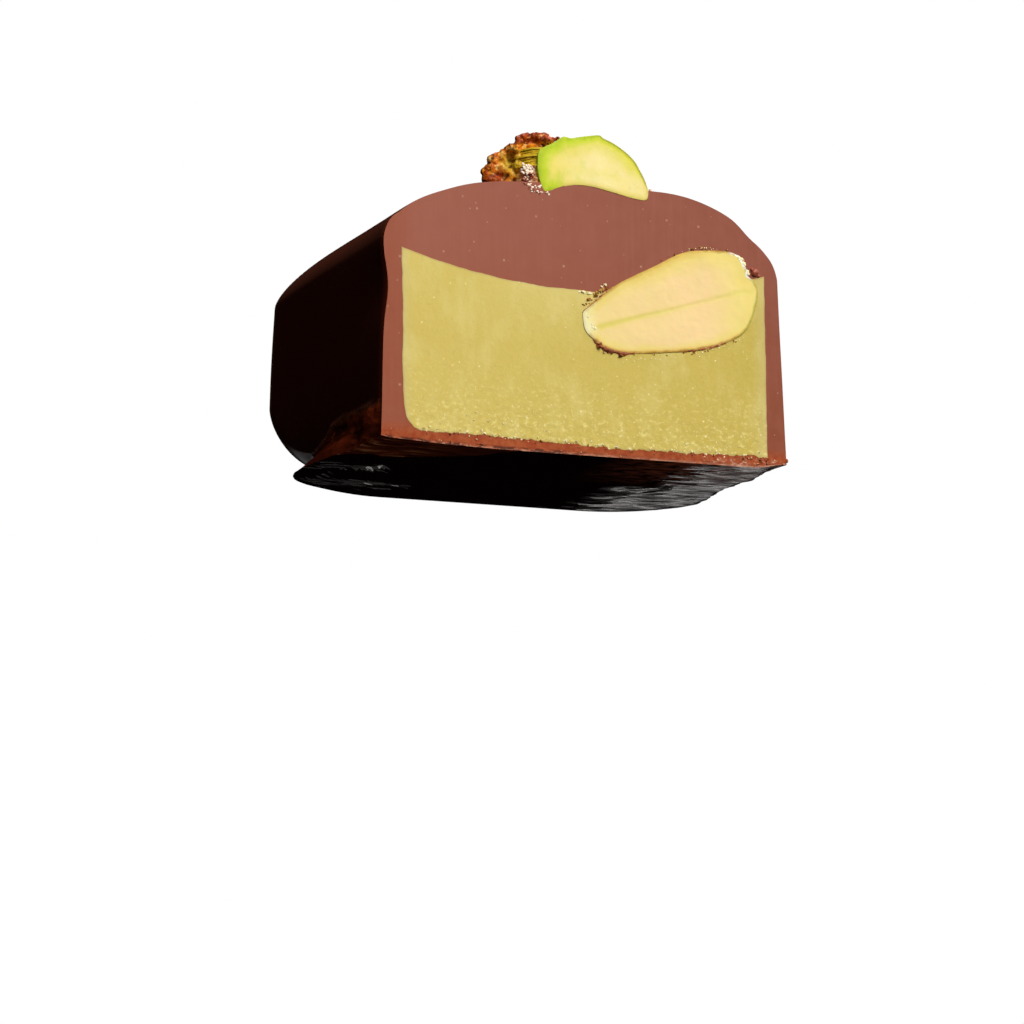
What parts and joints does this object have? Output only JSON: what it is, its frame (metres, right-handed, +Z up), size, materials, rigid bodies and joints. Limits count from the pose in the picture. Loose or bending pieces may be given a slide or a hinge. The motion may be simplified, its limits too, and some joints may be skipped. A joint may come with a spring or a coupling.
{
  "type": "chocolate praline half",
  "caption": "Half of a filled chocolate praline: domed milk chocolate coating cut open over pistachio paste, with a kernel inside and nut on top.",
  "frame": {"origin": "bottom centre of the praline's box, on the plane it rests on", "axes": "+X along the width of the cut, +Y from the cut face to the far end, +Z up"},
  "size_m": [0.0273, 0.021, 0.0202],
  "materials": {
    "chocolate": "glossy milk chocolate, satin on the cut face",
    "pistachio_paste": "matte, fine-grained paste",
    "kernel": "matte cut nut",
    "green_kernel": "matte cut nut with a green rim",
    "nut_skin": "dry, wrinkled skin"
  },
  "bodies": {
    "root": {"coating": "chocolate", "filling": "pistachio_paste", "kernel": "kernel", "topping_kernel": "green_kernel", "topping_skin": "nut_skin"}
  },
  "joints": []
}
